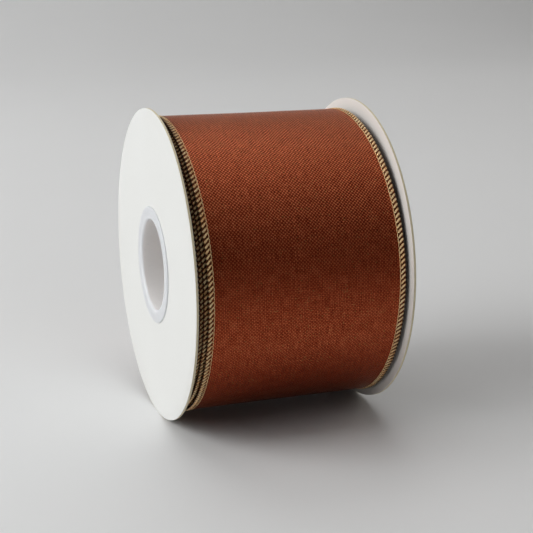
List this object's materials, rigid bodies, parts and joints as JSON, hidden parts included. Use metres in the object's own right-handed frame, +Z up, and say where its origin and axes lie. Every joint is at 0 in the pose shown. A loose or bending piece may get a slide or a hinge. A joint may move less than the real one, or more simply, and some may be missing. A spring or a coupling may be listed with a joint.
{
  "type": "ribbon spool",
  "caption": "Wide wired fabric ribbon with stitched metallic edges, wound on a spool of white paperboard flanges, a cardboard core and plastic hubs, with a taped loose end that lifts.",
  "frame": {"origin": "on the floor under the middle of the spool, which stands on the rims of its two flanges", "axes": "+X along the spool's axis towards the right flange, +Z up, -Y the side that is seen first; the ribbon's loose end lies on the +Y side"},
  "size_m": [0.0722, 0.1016, 0.1015],
  "materials": {
    "coated_card": "white coated paperboard, satin",
    "hub_plastic": "white moulded plastic, soft gloss",
    "core_card": "brown wound cardboard, matt",
    "rust_cloth": "rust brown slubbed weave, matt with a low sheen",
    "gold_thread": "metallic gold overlock thread",
    "edge_wire": "fine annealed steel wire",
    "clear_tape": "clear adhesive tape"
  },
  "bodies": {
    "spool": {"flange_left": "coated_card", "flange_right": "coated_card", "hub_left": "hub_plastic", "hub_right": "hub_plastic", "core_tube": "core_card", "start_tape": "clear_tape", "ribbon_web": "rust_cloth", "edge_stitch_left": "gold_thread", "edge_stitch_right": "gold_thread", "edge_wire_left": "edge_wire", "edge_wire_right": "edge_wire"},
    "loose_end": {"tail_web": "rust_cloth", "tail_stitch_left": "gold_thread", "tail_stitch_right": "gold_thread", "tail_wire_left": "edge_wire", "tail_wire_right": "edge_wire", "end_tape": "clear_tape"}
  },
  "joints": [
    {"name": "loose_end_lift", "type": "hinge", "parent": "spool", "child": "loose_end", "pos_m": [0.0006, 0.02423, 0.09272], "axis": [1, 0, 0], "range_deg": [0, 75]}
  ]
}
